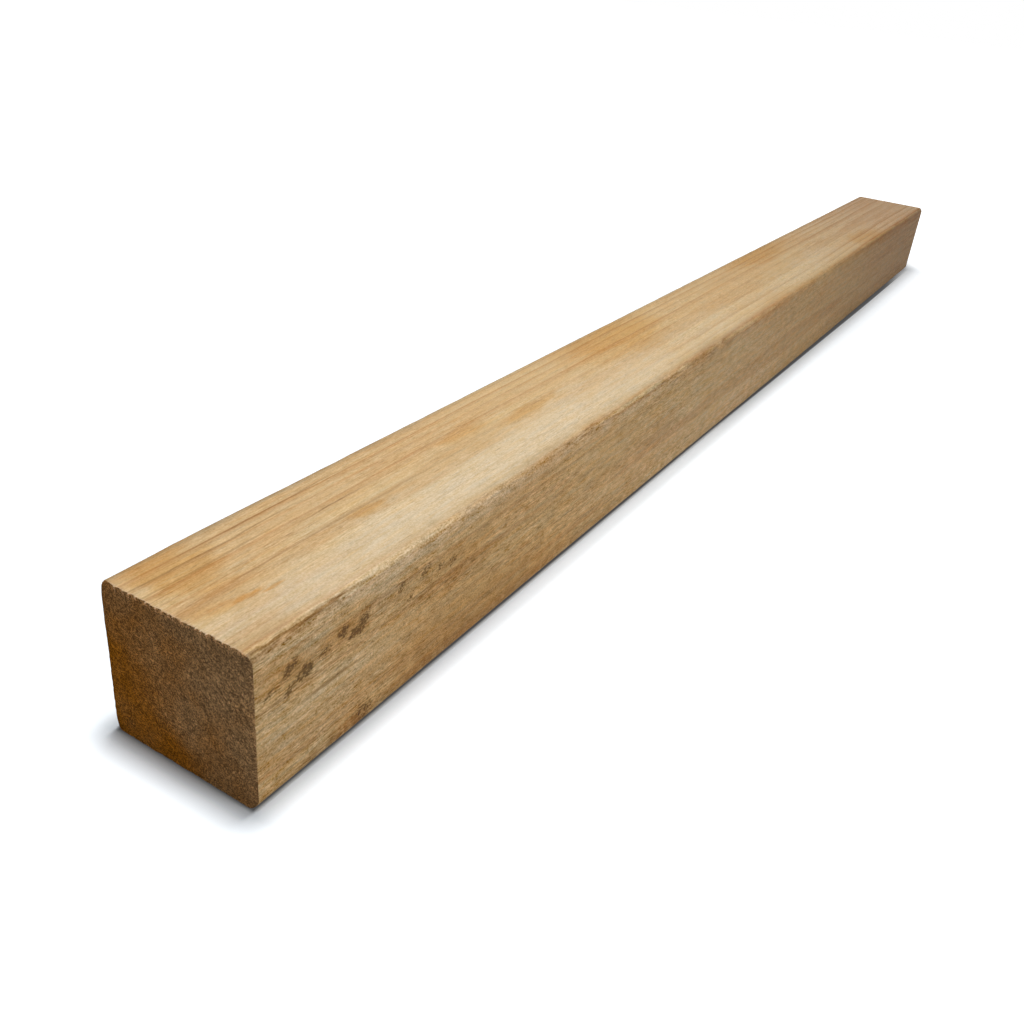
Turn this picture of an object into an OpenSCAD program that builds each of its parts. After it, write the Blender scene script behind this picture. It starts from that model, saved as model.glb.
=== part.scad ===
// Eased-edge sawn timber: one length of near-square softwood stock with four rounded long arrises
// and two ends crosscut square. It lies along X with its bottom face on Z = 0, and the origin is
// at the middle of that face.

/* [Section] */
// Width of the finished section, across the bottom face
section_width = 50; // [38:1:150]
// Depth of the finished section, from the bottom face up to the top face
section_depth = 47; // [38:1:150]
// Radius of the four eased long arrises
arris_radius = 3; // [1:0.5:9]

/* [Length] */
// Length between the two crosscut ends
timber_length = 710; // [300:10:4800]

/* [Hidden] */
$fn = 64;

// Flat left on each face between its two arrises
flat_width = section_width - 2 * arris_radius;
flat_depth = section_depth - 2 * arris_radius;

// The finished section as the planer leaves it: X across the timber, Y up from the bottom face
module eased_section() {
    translate([0, section_depth / 2]) {
        square([flat_width, section_depth], center = true);
        square([section_width, flat_depth], center = true);
        for (side = [-1, 1], level = [-1, 1])
            translate([side * flat_width / 2, level * flat_depth / 2])
                circle(r = arris_radius);
    }
}

// One length of stock: the section run out along X and sawn off square at both ends
module timber_plank() {
    color("burlywood")
        translate([-timber_length / 2, 0, 0])
            rotate([90, 0, 90])
                linear_extrude(height = timber_length)
                    eased_section();
}

timber_plank();
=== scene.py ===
import math

import bmesh
import bpy
from mathutils import Matrix, Vector, noise


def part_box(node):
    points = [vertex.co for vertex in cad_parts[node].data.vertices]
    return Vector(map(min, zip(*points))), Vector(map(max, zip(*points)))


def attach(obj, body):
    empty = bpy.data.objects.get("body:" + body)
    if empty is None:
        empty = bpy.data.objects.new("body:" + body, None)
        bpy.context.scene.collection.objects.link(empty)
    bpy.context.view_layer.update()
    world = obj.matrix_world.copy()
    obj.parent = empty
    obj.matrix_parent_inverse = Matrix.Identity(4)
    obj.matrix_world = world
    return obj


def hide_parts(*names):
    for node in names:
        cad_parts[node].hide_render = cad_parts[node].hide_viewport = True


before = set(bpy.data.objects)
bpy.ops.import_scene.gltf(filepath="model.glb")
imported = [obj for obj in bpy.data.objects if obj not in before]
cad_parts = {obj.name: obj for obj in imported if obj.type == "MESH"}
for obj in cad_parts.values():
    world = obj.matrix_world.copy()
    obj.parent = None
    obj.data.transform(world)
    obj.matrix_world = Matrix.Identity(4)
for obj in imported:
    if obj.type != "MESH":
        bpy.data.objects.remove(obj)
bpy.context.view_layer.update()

# The timber. One length of near-square softwood, sawn with the heart of a small log inside it and
# planed all round, with its long arrises eased. A coarse crosscut saw left both ends rough and tore
# slivers along their top edges. The arrises are knocked a little from handling.
MM = 0.001
low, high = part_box("timber_plank")
length, width, depth = high - low
arris_radius = 3 * MM
arris_steps = 6
face_pitch = 1.5 * MM
grain_pitch = 3.5 * MM
end_zone = 9 * MM
end_pitch = 0.75 * MM

# Slivers that the saw tore along the top edge of an end: places in mm across it from its front.
slivers = [
    5.6, 8.1, 10.4, 13.2, 15.1, 16.7, 19.0, 21.3, 23.9,
    25.5, 27.6, 29.6, 31.4, 33.0, 36.6, 38.8, 40.7, 43.5,
]
sliver_half = 0.3 * MM

# How near to a cut or a length counts as on it.
cut_slack = 0.001 * MM
length_slack = 0.01 * MM

block = bmesh.new()
torn_layer = block.verts.layers.float.new("torn")
whole_box = Matrix.LocRotScale((low + high) / 2, None, high - low)
bmesh.ops.create_cube(block, size=1.0, matrix=whole_box)
long_edges = [edge for edge in block.edges if edge.calc_length() > length / 2]
bmesh.ops.bevel(
    block,
    geom=long_edges,
    offset=arris_radius,
    offset_type="OFFSET",
    affect="EDGES",
    segments=arris_steps,
    profile=0.5,
    material=-1,
)


def slice_block(direction, places, ends_only=False):
    """Cuts the block with a plane at each place along a direction, right through or at its ends only."""
    for place in places:
        faces = block.faces[:]
        if ends_only:
            faces = [face for face in faces if abs(face.calc_center_median().x) > length / 2 - end_zone]
        edges = dict.fromkeys(edge for face in faces for edge in face.edges)
        verts = dict.fromkeys(vert for face in faces for vert in face.verts)
        bmesh.ops.bisect_plane(
            block,
            geom=list(verts) + list(edges) + faces,
            dist=cut_slack,
            plane_co=direction * place,
            plane_no=direction,
        )


def arris_cuts(start, end):
    """A cut at each step of the two arrises that bound a face."""
    cuts = []
    for step in range(1, arris_steps + 1):
        drop = arris_radius * (1 - math.cos(math.pi / 2 * step / arris_steps))
        cuts += [start + drop, end - drop]
    return cuts


def even_cuts(start, end, pitch):
    """Cuts about one pitch apart between two places."""
    count = max(1, round((end - start) / pitch))
    return [start + (end - start) * i / count for i in range(1, count)]


across, up, along = Vector((0, 1, 0)), Vector((0, 0, 1)), Vector((1, 0, 0))
flat_across = (low.y + arris_radius, high.y - arris_radius)
flat_up = (low.z + arris_radius, high.z - arris_radius)
slice_block(across, arris_cuts(low.y, high.y) + even_cuts(*flat_across, face_pitch))
slice_block(up, arris_cuts(low.z, high.z) + even_cuts(*flat_up, face_pitch))
slice_block(along, (low.x + end_zone, high.x - end_zone))


def cut_along(start, end, pitch):
    """Cuts the edges that run along the grain from start to end into lengths of about one pitch."""
    middle = (start + end) / 2
    runs = []
    for edge in block.edges:
        span = edge.verts[1].co - edge.verts[0].co
        centre = (edge.verts[0].co + edge.verts[1].co) / 2
        same_length = abs(abs(span.x) - (end - start)) < length_slack
        if same_length and abs(centre.x - middle) < length_slack:
            runs.append(edge)
    cuts = round((end - start) / pitch) - 1
    bmesh.ops.subdivide_edges(block, edges=runs, cuts=cuts, use_grid_fill=True)


cut_along(low.x, low.x + end_zone, end_pitch)
cut_along(low.x + end_zone, high.x - end_zone, grain_pitch)
cut_along(high.x - end_zone, high.x, end_pitch)

# The ends are cut finer, at each sliver and halfway between the cuts that they have.
for sliver in slivers:
    tip = low.y + sliver * MM
    slice_block(across, (tip - sliver_half, tip, tip + sliver_half), ends_only=True)
slice_block(across, even_cuts(*flat_across, face_pitch / 2)[::2], ends_only=True)
slice_block(up, even_cuts(*flat_up, face_pitch / 2)[::2], ends_only=True)

# End faces take their own finish, so they are marked before the relief tilts them.
LONG_GRAIN, END_GRAIN = 0, 1
end_facing = 0.9
least_sideways = 0.01
for face in block.faces:
    face.material_index = END_GRAIN if abs(face.normal.x) > end_facing else LONG_GRAIN
    face.smooth = True

# The saw cut each end a little short of its slivers and rough, and its upright edges are worn off.
cut_short = 0.75 * MM
front_wear = 0.8 * MM
back_wear = 0.55 * MM
back_lean = 0.2 * MM
corner_wear = 1.0 * MM
corner_reach = 6 * MM
edge_reach = 2.5 * MM
lean_start = 8 * MM
lean_rise = 32 * MM
sliver_drop = 1.7 * MM
sliver_spread = 0.8
sliver_stand = 0.65
sliver_step = 3.7
fuzz_depth = 0.16 * MM
fuzz_size = 1.2 * MM
ripple_across, ripple_up = 2.2 * MM, 9 * MM
fine_across, fine_up, fine_share = 0.8 * MM, 3 * MM, 0.7
ripple_share, torn_share, torn_band = 0.12, 0.4, 4 * MM


def sliver_share(point):
    """How far a sliver stands out at this place on an end, 0 to 1."""
    torn = 0.0
    for sliver in slivers:
        off = abs(point.y - low.y - sliver * MM) / sliver_half
        chance = noise.noise(Vector((sliver * sliver_step, 0.5, point.x)))
        drop = sliver_drop * (1 + sliver_spread * chance)
        torn = max(torn, max(0.0, 1 - off) * max(0.0, 1 - (high.z - point.z) / drop))
    return torn


def end_cut(point):
    """How far back an end lies at this place on it."""
    fuzz = fuzz_depth * (1 + noise.noise(point / fuzz_size))
    lean = max(0.0, min(1.0, (point.z - lean_start) / lean_rise))
    worn = front_wear * max(0.0, 1 - (point.y - low.y) / edge_reach) ** 2
    worn += (back_wear + back_lean * lean) * max(0.0, 1 - (high.y - point.y) / edge_reach) ** 2
    off_corner = math.hypot(high.y - point.y, high.z - point.z)
    worn += corner_wear * max(0.0, 1 - off_corner / corner_reach) ** 2
    ripple = noise.noise(Vector((point.x, point.y / ripple_across, point.z / ripple_up)))
    ripple += fine_share * noise.noise(Vector((point.x, point.y / fine_across, point.z / fine_up)))
    upper = max(0.0, 1 - (high.z - point.z) / torn_band)
    uneven = cut_short * (1 + (ripple_share + torn_share * upper) * ripple)
    return max(0.0, uneven * (1 - sliver_stand * sliver_share(point)) + worn + fuzz)


# Knocks on the top arrises: -1 front or 1 back, place along it, half length and depth, in mm.
knocks = [
    (-1, 14, 9, 0.3),
    (-1, 30, 6, 0.45),
    (-1, 156, 9, 0.3),
    (-1, 232, 12, 0.3),
    (-1, 262, 12, 0.35),
    (-1, 286, 5, 0.9),
    (1, 0, 24, 0.45),
]

# A long flat rubbed on the front bottom arris: its place, half length and depth, in mm.
rub_place, rub_half, rub_hollow = 190, 160, 0.45

# Raised grain on the faces and small dents along the arrises.
grain_depth = 0.03 * MM
grain_run = 60 * MM
grain_gap = 1.6 * MM
dent_depth = 0.35 * MM
dent_run = 11 * MM
dent_gap = 20 * MM
dent_start = 0.15
arris_fall = 1.4


def face_wear(point):
    """Depth lost at a place on the long faces: raised grain on the flats and knocks on the arrises."""
    stretched = Vector((point.x / grain_run, point.y / grain_gap, point.z / grain_gap))
    wear = grain_depth * (1 + noise.fractal(stretched, 1.0, 2.0, 3)) / 2
    from_side = width / 2 - abs(point.y)
    from_face = depth / 2 - abs(point.z - depth / 2)
    on_arris = max(0.0, 1 - max(from_side, from_face) / arris_radius)
    if on_arris > 0:
        dents = noise.noise(Vector((point.x / dent_run, point.y / dent_gap, point.z / dent_gap)))
        knock = dent_depth * max(0.0, dents - dent_start)
        distance = (point.x - low.x) / MM
        for side, place, half, hollow in knocks:
            reach = (distance - place) / half
            if point.z > depth / 2 and point.y * side > 0:
                knock = max(knock, hollow * MM * max(0.0, 1 - reach * reach))
        if point.z < depth / 2 and point.y < 0:
            reach = (distance - rub_place) / rub_half
            knock = max(knock, rub_hollow * MM * max(0.0, 1 - reach * reach))
        wear += knock * min(1.0, on_arris * arris_fall)
    return max(0.0, wear)


block.normal_update()
moves = {}
for vert in block.verts:
    point = vert.co.copy()
    near = point.x < 0
    from_end = point.x - low.x if near else high.x - point.x
    slide = max(0.0, 1 - from_end / end_zone)
    shift = Vector((0, 0, 0))
    if slide > 0:
        shift.x = end_cut(point) * slide * (1 if near else -1)
        vert[torn_layer] = sliver_share(point) * slide
    outward = vert.normal.copy()
    outward.x = 0
    on_long_face = any(face.material_index == LONG_GRAIN for face in vert.link_faces)
    if on_long_face and outward.length > least_sideways:
        shift -= outward.normalized() * face_wear(point)
    moves[vert] = shift
for vert, shift in moves.items():
    vert.co += shift

timber_mesh = bpy.data.meshes.new("timber")
block.to_mesh(timber_mesh)
block.free()
timber = bpy.data.objects.new("timber", timber_mesh)
bpy.context.scene.collection.objects.link(timber)


class Signal:
    """One socket of a material's nodes. Arithmetic on it adds Math nodes."""

    def __init__(self, tree, socket):
        self.tree = tree
        self.socket = socket

    def node(self, kind, settings, sockets, output=0):
        """Adds a node, makes its settings, fills or links its sockets, and returns one output."""
        made = self.tree.nodes.new(kind)
        for name, value in settings.items():
            setattr(made, name, value)
        for key, value in sockets.items():
            if isinstance(value, Signal):
                self.tree.links.new(value.socket, made.inputs[key])
            else:
                made.inputs[key].default_value = value
        return Signal(self.tree, made.outputs[output])

    def math(self, operation, *terms):
        return self.node("ShaderNodeMath", {"operation": operation}, dict(enumerate(terms)))

    def __add__(self, other):
        return self.math("ADD", self, other)

    def __sub__(self, other):
        return self.math("SUBTRACT", self, other)

    def __rsub__(self, other):
        return self.math("SUBTRACT", other, self)

    def __mul__(self, other):
        return self.math("MULTIPLY", self, other)

    def __truediv__(self, other):
        return self.math("DIVIDE", self, other)

    __radd__ = __add__
    __rmul__ = __mul__

    def vector(self, operation, **terms):
        """Vector Math on this vector or colour; the terms name the other sockets."""
        names = {"by": 1, "plus": 2, "scale": 3}
        sockets = {0: self}
        for name, value in terms.items():
            sockets[names[name]] = value
        output = 1 if operation == "LENGTH" else 0
        return self.node("ShaderNodeVectorMath", {"operation": operation}, sockets, output)

    def part(self, axis):
        return self.node("ShaderNodeSeparateXYZ", {}, {0: self}, axis)

    def rise(self, start, end):
        """0 up to start, 1 from end on, with a smooth step between."""
        settings = {"interpolation_type": "SMOOTHSTEP"}
        return self.node("ShaderNodeMapRange", settings, {0: self, 1: start, 2: end, 3: 0.0, 4: 1.0})

    def noise(self, scale, detail=2.0, roughness=0.5, shift=(0, 0, 0), output=0):
        """Noise at so many waves a millimetre along, across and up, shifted to a place of its own."""
        spot = self.vector("MULTIPLY_ADD", by=scale, plus=shift)
        sockets = {"Vector": spot, "Scale": 1.0, "Detail": detail, "Roughness": roughness}
        return self.node("ShaderNodeTexNoise", {}, sockets, output)

    def mix(self, base, paint):
        """The base colour where this mask is 0, and the paint where it is 1."""
        return self.node("ShaderNodeMix", {"data_type": "RGBA"}, {0: self, 6: base, 7: paint}, 2)

    def tinge(self, base, tone):
        """The base colour, multiplied by the tone where this mask is 1."""
        return self.mix(base, base.vector("MULTIPLY", by=tone))

    def feed(self, shader, name):
        """Links this to one of a shader's sockets."""
        self.tree.links.new(self.socket, shader.inputs[name])


def display(red, green, blue):
    """A colour given as it shows on screen, 0 to 255, in the linear values that a shader takes."""
    shown = [value / 255 for value in (red, green, blue)]
    return [v / 12.92 if v <= 0.04045 else ((v + 0.055) / 1.055) ** 2.4 for v in shown] + [1.0]


def new_material(name):
    """A material, its shader, and the place on the timber in mm from its near front bottom corner."""
    material = bpy.data.materials.new(name)
    material.use_nodes = True
    tree = material.node_tree
    shader = tree.nodes["Principled BSDF"]
    spot = Signal(tree, tree.nodes.new("ShaderNodeTexCoord").outputs["Object"])
    place = spot.vector("SUBTRACT", by=low).vector("SCALE", scale=1 / MM)
    return material, shader, place


# The heart's place in the section, how far it wanders, and the width of a year's ring, in mm.
heart_across = 22.7
heart_up = 19.2
heart_flatness = 0.96
heart_wander = 2.0
ring_width = 2.2
ring_ripple = 0.5
first_ring = 0.66


def growth_rings(place):
    """Late wood of each year, 0 to 1, in rings about the heart, which wanders along the timber."""
    wander = place.noise((0.004, 0.01, 0.01), 1.0, output=1)
    ripple = place.noise((0.012, 0.3, 0.3), 3.0, shift=(7, 3, 1))
    off_across = place.part(1) - heart_across + (wander.part(0) - 0.5) * heart_wander
    off_up = (place.part(2) - heart_up + (wander.part(1) - 0.5) * heart_wander) * heart_flatness
    square = off_across * off_across + off_up * off_up
    years = square.math("SQRT", square) / ring_width + first_ring + (ripple - 0.5) * ring_ripple
    season = years.math("FRACT", years)
    year = years.math("FLOOR", years)
    tone = year.node("ShaderNodeTexWhiteNoise", {"noise_dimensions": "1D"}, {"W": year})
    late = 0.4 * season.rise(0.3, 0.8) + 0.6 * season.rise(0.72, 0.92)
    return late * (1 - season.rise(0.93, 1.0)) * (0.35 + 0.65 * tone)


def patches(place, spots):
    """Rounded patches on the timber: centre, half size and strength of each, fading at their edges."""
    total = 0.0
    for centre, half, strength in spots:
        reach = place.vector("SUBTRACT", by=centre).vector("DIVIDE", by=half).vector("LENGTH")
        mark = (1 - reach.rise(0.4, 1.5)) * strength
        total = mark.math("MAXIMUM", mark, total)
    return total


# The long grain: fields of fibre, hair lines, grit and slow bands that the wood is mixed from.
long_grain, shader, place = new_material("long_grain")
late = growth_rings(place)
fibre = place.noise((0.018, 0.9, 0.9), 5.0, 0.62)
hair = place.noise((0.3, 2.0, 2.0), 2.0, 0.6, shift=(3, 8, 5))
grit = place.noise((1.6, 2.2, 2.2), 2.0, 0.6, shift=(1, 5, 9))
crumb = place.noise((0.7, 1.3, 1.3), 2.0, 0.6, shift=(7, 3, 3))
tint = place.noise((0.07, 0.6, 0.6), 4.0, 0.65, shift=(4, 2, 9)) - 0.5
mottle = place.noise((0.14, 0.4, 0.4), 2.0, 0.6, shift=(9, 1, 7))
blotch = place.noise((0.012, 0.05, 0.05), 3.0, 0.5, shift=(11, 2, 6))
patchy = place.noise((0.015, 0.08, 0.08), 2.0, 0.5, shift=(6, 9, 4)).rise(0.35, 0.65)
band = place.noise((0.007, 0.1, 0.1), 2.0, 0.5, shift=(1, 8, 3))
streak = place.noise((0.006, 0.33, 0.33), 3.0, 0.55, shift=(2, 4, 3)) - 0.5
streak = 1 - streak.math("ABSOLUTE", streak).rise(0.0, 0.035)
dash = place.noise((0.17, 1.9, 1.9), 2.0, 0.5, shift=(5, 1, 2)).rise(0.62, 0.76)

# The two side faces are planed rougher and are browner than the top and the bottom.
half_width = round(width / 2 / MM, 3)
half_depth = round(depth / 2 / MM, 3)
off_middle = place.part(1) - half_width
flank = off_middle.math("ABSOLUTE", off_middle).rise(22.0, 24.6)
front = 1 - place.part(1).rise(0.5, 3.0)

# Places are in mm along, across and up from the near front bottom corner. They are drawn out of true
# by a slow swirl or a quick one, so that no patch has a clean outline.
centred = (0.5, 0.5, 0.5)
slow = place.noise((0.05, 0.15, 0.15), 3.0, output=1).vector("SUBTRACT", by=centred)
loose = slow.vector("MULTIPLY_ADD", by=(26, 10, 10), plus=place)
wide = place.noise((0.014, 0.05, 0.05), 2.0, shift=(2, 6, 8), output=1).vector("SUBTRACT", by=centred)
wild = wide.vector("MULTIPLY_ADD", by=(90, 20, 4), plus=loose)
quick = place.noise((0.35, 0.6, 0.6), 2.0, shift=(4, 4, 4), output=1).vector("SUBTRACT", by=centred)
ragged = quick.vector("MULTIPLY_ADD", by=(5, 2, 3), plus=place)
sapwood_spots = [
    ((130, 11, 47), (130, 11, 5), 0.95),
    ((215, 15, 47), (50, 10, 5), 0.55),
    ((300, 12, 47), (60, 12, 8), 0.4),
    ((440, 13, 47), (80, 9, 8), 0.42),
    ((30, 0, 42), (40, 6, 5), 0.2),
]
wash_spots = [
    ((85, 0, 46), (45, 4, 5), 0.9),
    ((190, 0, 46), (55, 4, 5), 0.6),
]
stain_spots = [
    ((15, 38, 47), (9, 19, 5), 0.9),
    ((10, 20, 47), (7, 3.5, 4), 0.6),
    ((255, 38, 47), (38, 15, 6), 1.0),
    ((455, 43, 47), (45, 9, 6), 0.9),
    ((565, 8, 47), (26, 10, 6), 0.8),
    ((70, 21, 47), (8, 2, 4), 0.9),
    ((130, 32, 47), (12, 3, 4), 0.7),
    ((165, 25, 47), (18, 2.5, 4), 0.8),
    ((14, 0, 33), (9, 4, 7), 0.8),
    ((36, 0, 34), (11, 4, 7), 0.8),
    ((75, 0, 28), (32, 4, 10), 0.6),
    ((95, 0, 10), (60, 4, 12), 0.8),
    ((610, 0, 44), (130, 4, 3), 0.9),
]
shade_spots = [
    ((92, 0, 10), (36, 5, 14), 0.9),
]
pale_spots = [
    ((240, 0, 10), (50, 5, 14), 0.5),
    ((350, 0, 8), (70, 5, 14), 0.9),
    ((450, 0, 8), (60, 5, 14), 0.4),
]
drab_spots = [
    ((300, 0, 24), (105, 5, 30), 0.85),
    ((30, 0, 30), (34, 5, 22), 1.0),
]
ruddy_spots = [
    ((680, 0, 24), (130, 5, 40), 0.9),
    ((345, 0, 46), (80, 4, 4), 1.0),
]
lick_spots = [
    ((8.6, 18.8, 47), (2.4, 0.9, 3), 0.45),
    ((12.0, 18.8, 47), (2.6, 0.9, 3), 0.7),
    ((15.6, 17.5, 47), (3.2, 1.0, 3), 0.9),
    ((19.6, 16.7, 47), (3.4, 0.9, 3), 1.0),
    ((24.2, 15.3, 47), (3.6, 0.6, 3), 0.9),
]
brown_lines = [
    ((50, 42.9, 47), (32, 0.4, 2), 0.52),
    ((25, 39, 47), (36, 0.4, 2), 0.6),
    ((20, 34.8, 47), (30, 0.4, 2), 0.42),
    ((64, 31.6, 47), (12, 0.35, 2), 0.6),
    ((29, 24, 47), (10, 0.4, 2), 0.4),
    ((78, 24.2, 47), (48, 0.5, 2), 0.3),
    ((232, 0, 23), (24, 3, 2.4), 0.35),
    ((28, 0, 23.3), (11, 3, 0.7), 0.8),
    ((90, 0, 30), (60, 3, 0.5), 0.2),
    ((110, 0, 38), (60, 3, 0.5), 0.2),
]
fleck_spots = [
    ((13.9, 0, 36.6), (2.4, 4, 1.0), 0.9),
    ((12.4, 0, 34.8), (1.8, 4, 1.0), 0.8),
    ((19.3, 0, 32.2), (1.9, 4, 1.3), 1.3),
    ((16.8, 0, 31.4), (1.8, 4, 0.9), 0.8),
    ((13.3, 0, 29.9), (2.4, 4, 0.8), 0.9),
    ((6.0, 0, 32.4), (2.4, 4, 0.6), 0.7),
    ((25.6, 0, 33.4), (2.6, 4, 1.0), 0.45),
    ((32.5, 0, 36.0), (1.9, 4, 1.1), 1.1),
    ((36.4, 0, 32.8), (1.5, 4, 1.0), 1.1),
    ((39.0, 0, 33.4), (2.0, 4, 1.2), 1.3),
    ((41.0, 0, 34.9), (1.8, 4, 1.3), 0.85),
    ((43.4, 0, 38.2), (1.6, 4, 0.6), 0.5),
    ((55.6, 0, 36.0), (2.4, 4, 0.9), 0.65),
    ((60.6, 0, 31.5), (1.8, 4, 0.7), 0.6),
    ((66.8, 0, 36.4), (2.6, 4, 0.9), 0.65),
    ((74.0, 0, 34.6), (1.8, 4, 0.8), 0.6),
    ((80.4, 0, 33.6), (1.8, 4, 0.8), 0.6),
    ((41.4, 0, 5.4), (3.0, 4, 2.2), 0.55),
]
smear_spots = [
    ((16, 0, 34), (7, 4, 3.4), 0.8),
    ((26, 0, 33.6), (5, 4, 2.0), 0.6),
    ((37.5, 0, 34.6), (7, 4, 2.8), 0.8),
    ((42, 0, 38.5), (5, 4, 1.5), 0.45),
    ((58, 0, 34), (10, 4, 5), 0.6),
    ((80, 0, 31), (18, 4, 6), 0.65),
]
splash_spots = [
    ((35, 0, 3), (8, 4, 5), 1.0),
    ((23, 0, 2), (6, 4, 3), 0.5),
    ((75, 0, 3), (26, 4, 4.5), 0.7),
    ((140, 0, 2.5), (60, 4, 4.5), 0.5),
]
arris_marks = [
    ((14, 1, 46), (18, 3, 3), 0.8),
    ((30, 1, 46), (4, 3, 3), 1.0),
    ((156, 1, 46), (10, 3, 3), 0.9),
    ((245, 1, 46), (55, 3, 3), 0.35),
    ((286, 1, 46), (6, 3, 3), 0.7),
]
crest_marks = [
    ((14, 1, 46), (13, 3, 3), 1.0),
    ((36, 1, 46), (8, 3, 3), 0.4),
]
rubbed_spots = [
    ((281, 1, 45.5), (24, 5, 5.5), 1.0),
    ((135, 2, 47), (18, 2.5, 2), 0.8),
    ((8, 4, 47), (11, 5, 3), 0.9),
]

early_wood = display(208, 179, 133)
late_wood = display(168, 119, 68)
tan_wood = display(198, 156, 106)
sapwood = display(212, 191, 157)
dirt = display(88, 64, 36)
scuff = display(112, 78, 40)
open_pore = display(112, 82, 44)
sawn_lip = display(220, 190, 160)

# Tones that a mark multiplies the wood by.
amber = (0.9, 0.76, 0.54)
brown = (0.7, 0.5, 0.28)
orange = (0.84, 0.56, 0.22)
shaded = (0.87, 0.89, 0.93)
paler = (1.09, 1.08, 1.12)
drab = (1.03, 1.1, 1.25)
ruddy = (0.95, 0.89, 0.86)
paler_bluer = (1.03, 1.01, 1.14)
dull = (0.82, 0.85, 0.85)
dim = (0.82, 0.82, 0.82)
back_shade_grey = (0.74, 0.73, 0.74)
front_arris_tone = (0.86, 0.83, 0.77)
rubbed = (0.86, 0.83, 0.79)
bruised = (0.5, 0.41, 0.27)
smeared = (0.8, 0.76, 0.66)
pitted = (0.42, 0.37, 0.25)
flecked = (0.3, 0.25, 0.13)
splashed = (0.66, 0.53, 0.37)
lined = (0.45, 0.36, 0.24)

# The wood itself, then its pale, stained and discoloured patches.
fade = 1 + 0.5 * place.part(0).rise(440, 660)
wood = (late * (0.66 - 0.21 * flank) * fade).mix(early_wood, late_wood)
wood = (streak * 0.24 * fade * (0.4 + 1.2 * patchy)).mix(wood, late_wood)
wood = (blotch.rise(0.42, 0.72) * 0.4).mix(wood, tan_wood)
wood = (flank * 0.6).tinge(wood, amber)
pale = patches(wild, sapwood_spots) * (0.7 + 0.5 * fibre) * (1 - 0.8 * front)
pale = pale + 0.36 * front * patches(place, wash_spots)
wood = pale.mix(wood, sapwood)
stain = patches(loose, stain_spots) * (0.2 + 1.6 * fibre)
wood = stain.tinge(wood, amber)
wood = patches(loose, shade_spots).tinge(wood, shaded)
wood = patches(loose, pale_spots).tinge(wood, paler)
wood = patches(loose, drab_spots).tinge(wood, drab)
wood = patches(loose, ruddy_spots).tinge(wood, ruddy)
# The far end is paler and bluer, the sides less so than the top.
pale_far = place.part(0).rise(420, 680) * (1 - 0.5 * flank)
wood = pale_far.tinge(wood, paler_bluer)
licked = quick.vector("MULTIPLY_ADD", by=(3, 1.2, 1), plus=place)
lick = patches(licked, lick_spots) * (0.25 + 0.9 * fibre + 0.5 * (hair - 0.5))
wood = lick.tinge(wood, orange)

# Handling leaves the arrises duller, and browner at the back. Painted shade dims their side below the
# crest.
middle = (0, half_width, half_depth)
flat_half = (0, half_width - arris_radius / MM, half_depth - arris_radius / MM)
corner = place.vector("SUBTRACT", by=middle).vector("ABSOLUTE").vector("SUBTRACT", by=flat_half)
arris = corner.math("MINIMUM", corner.part(1), corner.part(2))
worn = arris.rise(0.9, 2.1) * (0.6 + 0.4 * place.part(0).rise(90, 200))
wood = worn.tinge(wood, dull)
round_arris = corner.part(1) - corner.part(2)
# Painted shade on the side of each arris below its crest.
shade_below_crest = round_arris.rise(-0.3, 0.8) * (1 - 0.6 * round_arris.rise(1.7, 2.9))
shade_below_crest = shade_below_crest * arris.rise(-1.0, 0.2)
wood = shade_below_crest.tinge(wood, dim)
handled = 0.15 * blotch + 0.8 * place.part(1).rise(40, 48)
wood = (worn * handled).tinge(wood, brown)

# Painted shade darkens the back top arris. The top is darker beside its front arris, and rubbed in
# places.
# Painted shade along the back top arris.
back_arris_shade = corner.part(1).rise(-1.1, -0.1) * corner.part(2).rise(0.0, 1.1) * place.part(1).rise(40, 46)
back_arris_shade = back_arris_shade * (1 - 0.5 * place.part(0).rise(90, 150))
wood = back_arris_shade.tinge(wood, back_shade_grey)
darker_by_front_arris = (1 - place.part(1).rise(1.5, 7.5)) * place.part(2).rise(46.1, 46.75)
darker_by_front_arris = darker_by_front_arris * place.part(0).rise(35, 70) * (1 - 0.6 * place.part(0).rise(430, 540))
wood = darker_by_front_arris.tinge(wood, front_arris_tone)
wood = patches(ragged, rubbed_spots).tinge(wood, rubbed)

# A bruise wanders along the crest of the front top arris by the near end, and its knocks are scuffed.
wobble = (place.noise((0.11, 0.01, 0.01), 3.0, 0.6, shift=(3, 3, 3)) - 0.5) * 2.4
off_crest = round_arris - wobble
crest = (1 - off_crest.math("ABSOLUTE", off_crest).rise(0.15, 0.7)) * arris.rise(0.4, 1.2)
crest = crest * patches(place, crest_marks) * (0.6 + 1.4 * fibre)
wood = crest.math("MINIMUM", crest, 1.0).tinge(wood, bruised)
scratch = place.noise((0.07, 1.1, 1.1), 3.0, 0.6, shift=(6, 6, 1)).rise(0.42, 0.62)
wood = (patches(loose, arris_marks) * arris.rise(0.8, 1.8) * scratch).mix(wood, scuff)

# The front face is the dirtier one: roller flecks, open pores by the near end, splashes at the bottom.
lean_angle = 0.6
lean_cos = math.cos(lean_angle)
lean_sin = math.sin(lean_angle)
fleck_spread = (1.05, 1.25, 1.55)


def leaning(spot):
    """A place turned so that its first axis runs up across the grain of the front face."""
    ahead = spot.part(0) * lean_cos + spot.part(2) * lean_sin
    above = spot.part(2) * lean_cos - spot.part(0) * lean_sin
    return spot.node("ShaderNodeCombineXYZ", {}, {0: ahead, 1: spot.part(1), 2: above})


def leaning_spots(spots):
    """The centres of patches turned in the same way."""
    turned = []
    for (ahead, across, above), half, strength in spots:
        centre = (ahead * lean_cos + above * lean_sin, across, above * lean_cos - ahead * lean_sin)
        turned.append((centre, [size * spread for size, spread in zip(half, fleck_spread)], strength))
    return turned


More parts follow.
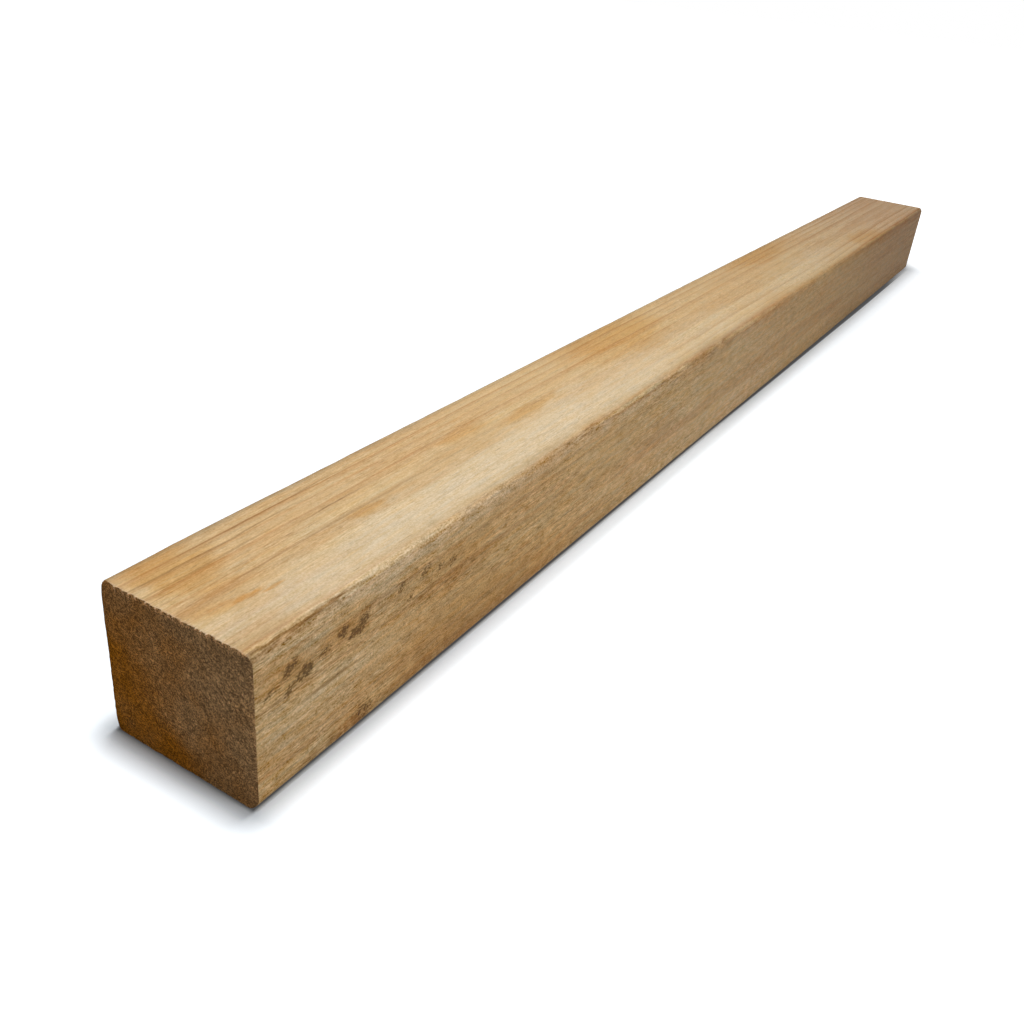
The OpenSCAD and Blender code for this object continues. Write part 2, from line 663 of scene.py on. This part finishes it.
torn_way = leaning(place)
nick = torn_way.noise((0.35, 0.3, 0.9), 3.0, 0.7, shift=(3, 7, 2))
pit = torn_way.noise((0.45, 0.5, 1.1), 2.0, 0.6, shift=(1, 4, 6)).rise(0.57, 0.67)
shaken = quick.vector("MULTIPLY_ADD", by=(2.2, 1, 2.2), plus=place)
torn_up = place.noise((0.9, 0.9, 1.6), 3.0, 0.7, shift=(5, 5, 1)) - 0.5
core = patches(leaning(shaken), leaning_spots(fleck_spots))
broken = core - 0.2 + 3.0 * (nick - 0.5) + 6.0 * torn_up
core = broken.rise(0.0, 0.8) * core.rise(0.05, 0.3)
smear = patches(ragged, smear_spots)
wood = (smear * (0.3 + 0.7 * fibre)).tinge(wood, smeared)
wood = (smear * pit).tinge(wood, pitted)
wood = core.tinge(wood, flecked)
pore = place.noise((0.42, 1.5, 1.5), 2.0, 0.5, shift=(8, 1, 1)).rise(0.56, 0.72)
wood = (pore * front * (1 - place.part(0).rise(40, 260)) * 0.45).mix(wood, open_pore)
splash = 0.35 + 0.65 * place.noise((0.5, 0.3, 0.15), 3.0, 0.6, shift=(2, 9, 2)).rise(0.4, 0.62)
wood = (splash * patches(ragged, splash_spots)).tinge(wood, splashed)
shaky = slow.vector("MULTIPLY_ADD", by=(0, 2.5, 2.5), plus=place)
line = patches(shaky, brown_lines) * (2.6 * hair - 0.3)
wood = line.math("MAXIMUM", line, 0.0).tinge(wood, lined)

# Short dark dashes lie all over, and the sawn edge at the near end is pale.
wood = (dash * 0.3).mix(wood, dirt)
lip = 1 - place.part(0).rise(0.9, 1.8)
wood = (lip * 0.3).mix(wood, sawn_lip)

# The fine grain lightens and darkens all this. It is coarser on the sides and towards the near end.
smooth = place.part(0).rise(120, 480)
grain = 0.35 * (fibre - 0.5) + 0.65 * (0.5 + patchy) * (hair - 0.5)
grain = grain + 0.75 * (1 - 0.5 * smooth) * (grit - 0.5) + 0.3 * (mottle - 0.5)
close = 1 - place.part(0).rise(110, 200)
grain = grain * (0.85 + flank * (1.25 - 0.75 * smooth + 0.5 * close))
grain = grain + flank * (0.5 * (band - 0.5) + 0.4 * (mottle - 0.5) + 0.6 * (crumb - 0.5))
hue = (tint * (0.5 + 0.5 * flank)).vector("MULTIPLY_ADD", by=(0.5, 0, -0.85), plus=(1, 1, 1))
tone = grain.vector("MULTIPLY_ADD", by=(0.82, 1.0, 1.5), plus=hue)
# Painted shade darkens the far half of the side faces.
far_shade = 1 - 0.1 * flank * place.part(0).rise(400, 650)
colour = wood.vector("MULTIPLY", by=tone).vector("SCALE", scale=far_shade)
colour.feed(shader, "Base Color")
rough = 0.55 + 0.25 * fibre
rough.feed(shader, "Roughness")
shader.inputs["Specular IOR Level"].default_value = 0.2
height = hair * 0.5 + fibre * 0.5 + grit * 0.4 - dash * 0.5
bump = height.node("ShaderNodeBump", {}, {"Strength": 0.4, "Distance": 0.3 * MM, "Height": height})
bump.feed(shader, "Normal")

# The end grain: short strokes of the saw that climb towards the back, over faint rings. The lower
# back part is more orange, and the torn slivers at the top are pale.
sawn_pale = display(178, 140, 98)
sawn_orange = display(170, 107, 29)
sawn_late = display(110, 72, 34)
torn_pale = display(214, 165, 118)
stroke_angle = -0.69
end_grain, shader, place = new_material("end_grain")
late = growth_rings(place)
bend = place.noise((0.02, 0.09, 0.09), 2.0, output=1).vector("SUBTRACT", by=centred)
swept = bend.vector("MULTIPLY_ADD", by=(0, 5, 5), plus=place)
about_length = {"rotation_type": "X_AXIS"}
turned = swept.node("ShaderNodeVectorRotate", about_length, {"Vector": swept, "Angle": stroke_angle})
pile = turned.noise((0.3, 1.2, 3.2), 3.0, 0.65)
kerf = turned.noise((0.1, 0.12, 0.9), 2.0, 0.5, shift=(3, 1, 4))
speckle = place.noise((0.3, 3.0, 3.0), 3.0, 0.7, shift=(2, 2, 8))
mottle = place.noise((0.1, 0.3, 0.3), 3.0, 0.6, shift=(5, 2, 1))
cloud = place.noise((0.02, 0.06, 0.06), 3.0, 0.5, shift=(4, 9, 2))
slope = (place.part(1) - 25) * 0.012 - (place.part(2) - 23) * 0.008 + cloud
wood = slope.rise(0.15, 0.95).mix(sawn_pale, sawn_orange)
wood = (late * 0.25).mix(wood, sawn_late)
torn = place.node("ShaderNodeAttribute", {"attribute_name": "torn"}, {}, 2)
wood = torn.rise(0.06, 0.42).mix(wood, torn_pale)
# Painted light and shade: the end is darker in its upper part with a lighter top rim, and darker along
# its bottom, front and back edges and at its low front corner.
rim = 0.25 * place.part(2).rise(44.6, 46.6) - 0.12 * place.part(2).rise(36, 44)
rim = rim - 0.12 * (1 - place.part(2).rise(1, 9)) - 0.22 * (1 - place.part(1).rise(0.6, 2.8))
foot = (1 - place.part(1).rise(8, 32)) * (1 - place.part(2).rise(10, 32))
shade = 1 + rim - 0.15 * place.part(1).rise(46, 50) - 0.1 * foot
texture = 4.6 * pile + 5.7 * speckle + 0.9 * mottle + 1.1 * kerf - 6.12
bright = (1 + texture) * shade
colour = wood.vector("SCALE", scale=bright.math("MAXIMUM", bright, 0.45))
colour.feed(shader, "Base Color")
shader.inputs["Roughness"].default_value = 0.9
shader.inputs["Specular IOR Level"].default_value = 0.0
height = pile + speckle
bump = height.node("ShaderNodeBump", {}, {"Strength": 0.7, "Distance": 0.5 * MM, "Height": height})
bump.feed(shader, "Normal")

timber_mesh.materials.append(long_grain)
timber_mesh.materials.append(end_grain)
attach(timber, "root")
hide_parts("timber_plank")

# The floor. A plain pale sheet that shows white to the camera and keeps the timber's shadow, and that
# sends less light back up at the timber than it shows. A dark line of painted contact shadow lies on it
# where the front and the back of the timber meet it, wider towards the far end.
floor_span = 12.0
floor_gap = 0.1 * MM
floor_shape = bmesh.new()
bmesh.ops.create_grid(floor_shape, x_segments=1, y_segments=1, size=floor_span / 2)
bmesh.ops.translate(floor_shape, vec=(0, 0, low.z - floor_gap), verts=floor_shape.verts)
floor_mesh = bpy.data.meshes.new("floor")
floor_shape.to_mesh(floor_mesh)
floor_shape.free()
floor = bpy.data.objects.new("floor", floor_mesh)
bpy.context.scene.collection.objects.link(floor)


def seen_ray(tree):
    """1 for a ray that shows a surface to the camera, straight, in a gloss or through glass, else 0."""
    path = tree.nodes.new("ShaderNodeLightPath")
    seen = Signal(tree, path.outputs["Is Camera Ray"])
    for kind in ("Is Glossy Ray", "Is Transmission Ray"):
        seen = seen.math("MAXIMUM", seen, Signal(tree, path.outputs[kind]))
    return seen


floor_paint = bpy.data.materials.new("floor_paint")
floor_paint.use_nodes = True
tree = floor_paint.node_tree
tree.nodes.clear()
seen = seen_ray(tree)
spot = Signal(tree, tree.nodes.new("ShaderNodeTexCoord").outputs["Object"])
lamp_foot = (-0.21, 0.03, 0.0)
level = (1, 1, 0)
off_lamp = spot.vector("SUBTRACT", by=lamp_foot).vector("MULTIPLY", by=level).vector("LENGTH")
half_print = ((high.x - low.x) / 2, (high.y - low.y) / 2, 1.0)
beside = spot.vector("ABSOLUTE").vector("SUBTRACT", by=half_print)
past_end = beside.part(0)
past_side = beside.part(1)
off_timber = beside.vector("MAXIMUM", by=(0, 0, 0)).vector("LENGTH")
along_floor = spot.part(0)

# The painted contact shadow beside the timber, a dark line that stops at its ends.
reach = (1.15 * along_floor.rise(-0.075, 0.065) + 1.15 * along_floor.rise(0.045, 0.245) - 0.75) * MM
beside_dark = 1 - (past_side - reach).rise(-0.6 * MM, 0.5 * MM)
ended = past_end.rise(-1.2 * MM, 0.4 * MM) * (0.83 + 0.17 * past_end.rise(1.5 * MM, 4.5 * MM))
dark = beside_dark * (1 - ended) * (1 - 0.75 * along_floor.rise(0.28, 0.35))

# The lift is painted light: it makes up for the lamp's light falling off, and thins the shadow beside
# the timber, with a little more beside the arris that is rubbed flat.
far_half = along_floor.rise(-0.2, 0.2)
spread = off_timber * (1 - 0.55 * far_half)
lift = off_lamp.rise(0.1, 1.2) * (1 - 0.85 * dark) * (0.5 + 0.5 * off_timber.rise(2 * MM, 22 * MM))
lift = lift + 0.05 + 0.33 * spread.rise(0.0, 11 * MM) + 0.04 * past_end.rise(-0.4 * MM, 2 * MM)
lift_beside_rub = along_floor.rise(-0.33, -0.2) * (1 - along_floor.rise(-0.1, 0.0)) * (1 - ended)
lift = lift + 0.13 * lift_beside_rub * (1 - dark) * (1 - past_side.rise(1.5 * MM, 4.5 * MM))

sheet_tone = (0.875, 0.94, 1.0)
dull_grey = (0.34, 0.34, 0.34, 1)
contact = 0.98 - 0.9 * dark
sheet = seen.node("ShaderNodeBsdfDiffuse", {}, {"Color": contact.vector("MULTIPLY", by=sheet_tone)})
glow = seen.node("ShaderNodeEmission", {}, {"Color": lift, "Strength": 1.0})
bright_side = seen.node("ShaderNodeAddShader", {}, {0: sheet, 1: glow})
dull_side = seen.node("ShaderNodeBsdfDiffuse", {}, {"Color": dull_grey})
from_above = seen.node("ShaderNodeMixShader", {}, {0: seen, 1: dull_side, 2: bright_side})
from_below = Signal(tree, tree.nodes.new("ShaderNodeNewGeometry").outputs["Backfacing"])
clear = seen.node("ShaderNodeBsdfTransparent", {}, {})
surface = seen.node("ShaderNodeMixShader", {}, {0: from_below, 1: from_above, 2: clear})
surface.feed(tree.nodes.new("ShaderNodeOutputMaterial"), "Surface")
floor_mesh.materials.append(floor_paint)

# The light. A softbox overhead by the near end, a weaker one in front that fills the long side,
# another beyond the near end that lights its cut, and a dim even surround.


def softbox(name, place, aim, size, watts):
    """A square lamp at a place, turned to its aim."""
    data = bpy.data.lights.new(name, "AREA")
    data.shape = "SQUARE"
    data.size = size
    data.energy = watts
    lamp = bpy.data.objects.new(name, data)
    lamp.location = place
    lamp.rotation_euler = (Vector(aim) - Vector(place)).to_track_quat("-Z", "Y").to_euler()
    bpy.context.scene.collection.objects.link(lamp)


softbox("overhead", place=(-0.21, 0.03, 0.95), aim=(-0.21, 0.03, 0.0), size=0.24, watts=6.5)
softbox("front", place=(-0.28, -0.55, 0.25), aim=(-0.28, 0.0, 0.0), size=0.26, watts=1.35)
softbox("end", place=(-1.30, -0.15, 0.40), aim=(-0.355, 0.0, 0.02), size=0.30, watts=1.45)

world = bpy.data.worlds.new("studio")
bpy.context.scene.world = world
world.use_nodes = True
tree = world.node_tree
tree.nodes.clear()
surround = 0.1
sky = surround + (1 - surround) * seen_ray(tree)
back = sky.node("ShaderNodeBackground", {}, {"Color": sky, "Strength": 1.0})
back.feed(tree.nodes.new("ShaderNodeOutputWorld"), "Surface")

# The camera. A 35 mm lens close to the near end, looking down along the timber and turned a little
# about its own axis.
eye = Vector((-479.0, -155.1, 185.2)) * MM
heading = math.radians(28.84)
pitch = math.radians(-28.99)
roll = math.radians(5.96)
camera_data = bpy.data.cameras.new("camera")
camera_data.lens = 35.0
camera_data.sensor_width = 36.0
camera_data.clip_start = 0.01
camera = bpy.data.objects.new("camera", camera_data)
swing = Matrix.Rotation(heading - math.pi / 2, 4, "Z")
tilt = Matrix.Rotation(math.pi / 2 + pitch, 4, "X")
twist = Matrix.Rotation(roll, 4, "Z")
camera.matrix_world = Matrix.Translation(eye) @ swing @ tilt @ twist
bpy.context.scene.collection.objects.link(camera)
bpy.context.scene.camera = camera
bpy.context.scene.view_settings.view_transform = "Standard"
